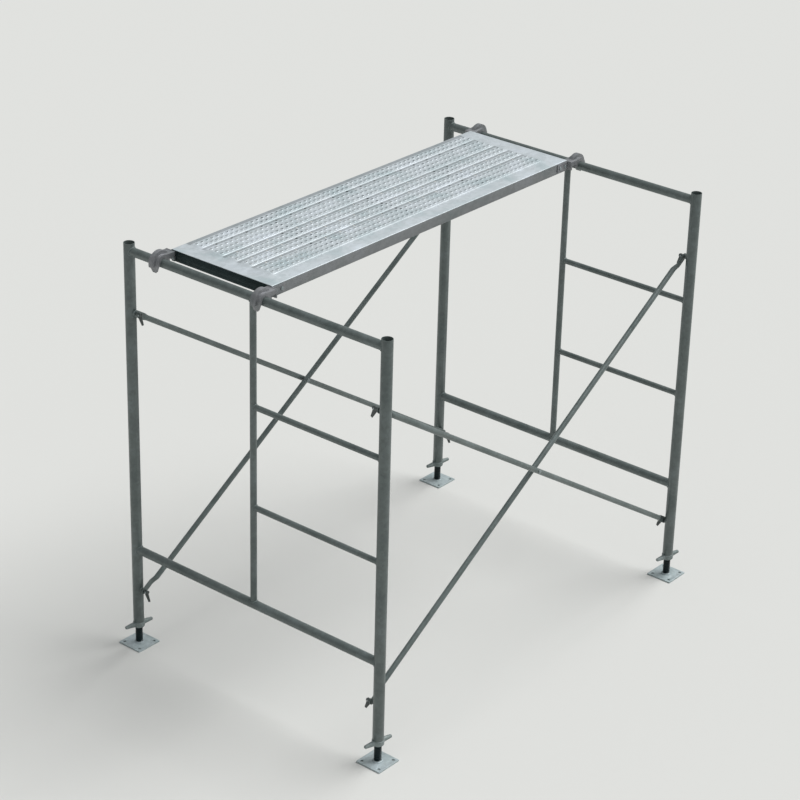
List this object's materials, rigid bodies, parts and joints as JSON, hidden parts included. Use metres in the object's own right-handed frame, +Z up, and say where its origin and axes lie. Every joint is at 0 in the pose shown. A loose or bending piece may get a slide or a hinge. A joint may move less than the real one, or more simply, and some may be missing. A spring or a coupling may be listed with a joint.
{
  "type": "frame scaffold section",
  "caption": "frame scaffold section: ladder frames joined by cross braces on lock pins, a banded steel catwalk hooked over the top rails, and screw jacks with wing nuts under the legs",
  "frame": {"origin": "on the ground, in the middle of the four base plates", "axes": "+X from the left frame to the right frame, +Y from the near legs to the far legs, +Z up"},
  "size_m": [1.9572, 1.329, 1.6933],
  "materials": {
    "frame_tube": "galvanised tube, weathered dark grey-green, satin",
    "slim_tube": "galvanised tube, weathered dark grey-green, satin",
    "brace_tube": "galvanised tube, dull grey",
    "pin_steel": "zinc plated, rubbed",
    "rivet_steel": "zinc plated rivets",
    "latch_steel": "dark zinc, dull",
    "deck_sheet": "hot-dip galvanised sheet, pale and spangled",
    "deck_channel": "galvanised channel, dark and dull",
    "hook_steel": "galvanised pressed steel, grey satin",
    "nut_casting": "galvanised casting, rough",
    "screw_steel": "rolled thread, dark oiled",
    "base_plate": "galvanised plate, pale grey, scuffed"
  },
  "bodies": {
    "root": {"left_near_leg": "frame_tube", "left_far_leg": "frame_tube", "left_top_rail": "frame_tube", "left_bottom_rail": "frame_tube", "left_mid_post": "slim_tube", "left_lower_rung": "slim_tube", "left_upper_rung": "slim_tube", "left_brace_pins": "pin_steel", "left_latch_rivets": "rivet_steel", "right_near_leg": "frame_tube", "right_far_leg": "frame_tube", "right_top_rail": "frame_tube", "right_bottom_rail": "frame_tube", "right_mid_post": "slim_tube", "right_lower_rung": "slim_tube", "right_upper_rung": "slim_tube", "right_brace_pins": "pin_steel", "right_latch_rivets": "rivet_steel", "near_outer_brace": "brace_tube", "near_inner_brace": "brace_tube", "near_brace_rivet": "rivet_steel", "far_outer_brace": "brace_tube", "far_inner_brace": "brace_tube", "far_brace_rivet": "rivet_steel"},
    "catwalk": {"deck_sheet": "deck_sheet", "deck_left_end": "deck_channel", "deck_right_end": "deck_channel", "deck_cross_channels": "deck_channel", "deck_rivets": "rivet_steel", "left_near_hook": "hook_steel", "left_far_hook": "hook_steel", "right_near_hook": "hook_steel", "right_far_hook": "hook_steel"},
    "left_near_low_latch": {"left_near_low_latch": "latch_steel"},
    "left_near_high_latch": {"left_near_high_latch": "latch_steel"},
    "left_far_low_latch": {"left_far_low_latch": "latch_steel"},
    "left_far_high_latch": {"left_far_high_latch": "latch_steel"},
    "right_near_low_latch": {"right_near_low_latch": "latch_steel"},
    "right_near_high_latch": {"right_near_high_latch": "latch_steel"},
    "right_far_low_latch": {"right_far_low_latch": "latch_steel"},
    "right_far_high_latch": {"right_far_high_latch": "latch_steel"},
    "left_near_nut": {"left_near_nut": "nut_casting"},
    "left_near_jack_screw": {"left_near_screw": "screw_steel", "left_near_base_plate": "base_plate"},
    "left_far_nut": {"left_far_nut": "nut_casting"},
    "left_far_jack_screw": {"left_far_screw": "screw_steel", "left_far_base_plate": "base_plate"},
    "right_near_nut": {"right_near_nut": "nut_casting"},
    "right_near_jack_screw": {"right_near_screw": "screw_steel", "right_near_base_plate": "base_plate"},
    "right_far_nut": {"right_far_nut": "nut_casting"},
    "right_far_jack_screw": {"right_far_screw": "screw_steel", "right_far_base_plate": "base_plate"}
  },
  "joints": [
    {"name": "catwalk_lift", "type": "slide", "parent": "root", "child": "catwalk", "axis": [0, 0, 1], "range_m": [0, 0.15]},
    {"name": "left_near_low_latch_swing", "type": "hinge", "parent": "root", "child": "left_near_low_latch", "pos_m": [-0.9145, -0.5625, 0.244], "axis": [1, 0, 0], "range_deg": [0, 90]},
    {"name": "left_near_high_latch_swing", "type": "hinge", "parent": "root", "child": "left_near_high_latch", "pos_m": [-0.9145, -0.5625, 1.408], "axis": [1, 0, 0], "range_deg": [0, 90]},
    {"name": "left_far_low_latch_swing", "type": "hinge", "parent": "root", "child": "left_far_low_latch", "pos_m": [-0.9145, 0.5625, 0.244], "axis": [-1, 0, 0], "range_deg": [0, 90]},
    {"name": "left_far_high_latch_swing", "type": "hinge", "parent": "root", "child": "left_far_high_latch", "pos_m": [-0.9145, 0.5625, 1.408], "axis": [-1, 0, 0], "range_deg": [0, 90]},
    {"name": "right_near_low_latch_swing", "type": "hinge", "parent": "root", "child": "right_near_low_latch", "pos_m": [0.9145, -0.5625, 0.244], "axis": [1, 0, 0], "range_deg": [0, 90]},
    {"name": "right_near_high_latch_swing", "type": "hinge", "parent": "root", "child": "right_near_high_latch", "pos_m": [0.9145, -0.5625, 1.408], "axis": [1, 0, 0], "range_deg": [0, 90]},
    {"name": "right_far_low_latch_swing", "type": "hinge", "parent": "root", "child": "right_far_low_latch", "pos_m": [0.9145, 0.5625, 0.244], "axis": [-1, 0, 0], "range_deg": [0, 90]},
    {"name": "right_far_high_latch_swing", "type": "hinge", "parent": "root", "child": "right_far_high_latch", "pos_m": [0.9145, 0.5625, 1.408], "axis": [-1, 0, 0], "range_deg": [0, 90]},
    {"name": "left_near_nut_turn", "type": "hinge", "parent": "root", "child": "left_near_nut", "pos_m": [-0.9145, -0.6095, 0.087], "axis": [0, 0, 1], "range_deg": [-2250, 15750]},
    {"name": "left_near_screw_travel", "type": "slide", "parent": "root", "child": "left_near_jack_screw", "axis": [0, 0, -1], "range_m": [-0.05, 0.35]},
    {"name": "left_far_nut_turn", "type": "hinge", "parent": "root", "child": "left_far_nut", "pos_m": [-0.9145, 0.6095, 0.087], "axis": [0, 0, 1], "range_deg": [-2250, 15750]},
    {"name": "left_far_screw_travel", "type": "slide", "parent": "root", "child": "left_far_jack_screw", "axis": [0, 0, -1], "range_m": [-0.05, 0.35]},
    {"name": "right_near_nut_turn", "type": "hinge", "parent": "root", "child": "right_near_nut", "pos_m": [0.9145, -0.6095, 0.087], "axis": [0, 0, 1], "range_deg": [-2250, 15750]},
    {"name": "right_near_screw_travel", "type": "slide", "parent": "root", "child": "right_near_jack_screw", "axis": [0, 0, -1], "range_m": [-0.05, 0.35]},
    {"name": "right_far_nut_turn", "type": "hinge", "parent": "root", "child": "right_far_nut", "pos_m": [0.9145, 0.6095, 0.087], "axis": [0, 0, 1], "range_deg": [-2250, 15750]},
    {"name": "right_far_screw_travel", "type": "slide", "parent": "root", "child": "right_far_jack_screw", "axis": [0, 0, -1], "range_m": [-0.05, 0.35]}
  ],
  "couplings": [
    {"joint": "left_near_screw_travel", "follows": "left_near_nut_turn", "m_per_rad": 0.001272},
    {"joint": "left_far_screw_travel", "follows": "left_far_nut_turn", "m_per_rad": 0.001272},
    {"joint": "right_near_screw_travel", "follows": "right_near_nut_turn", "m_per_rad": 0.001272},
    {"joint": "right_far_screw_travel", "follows": "right_far_nut_turn", "m_per_rad": 0.001272}
  ]
}
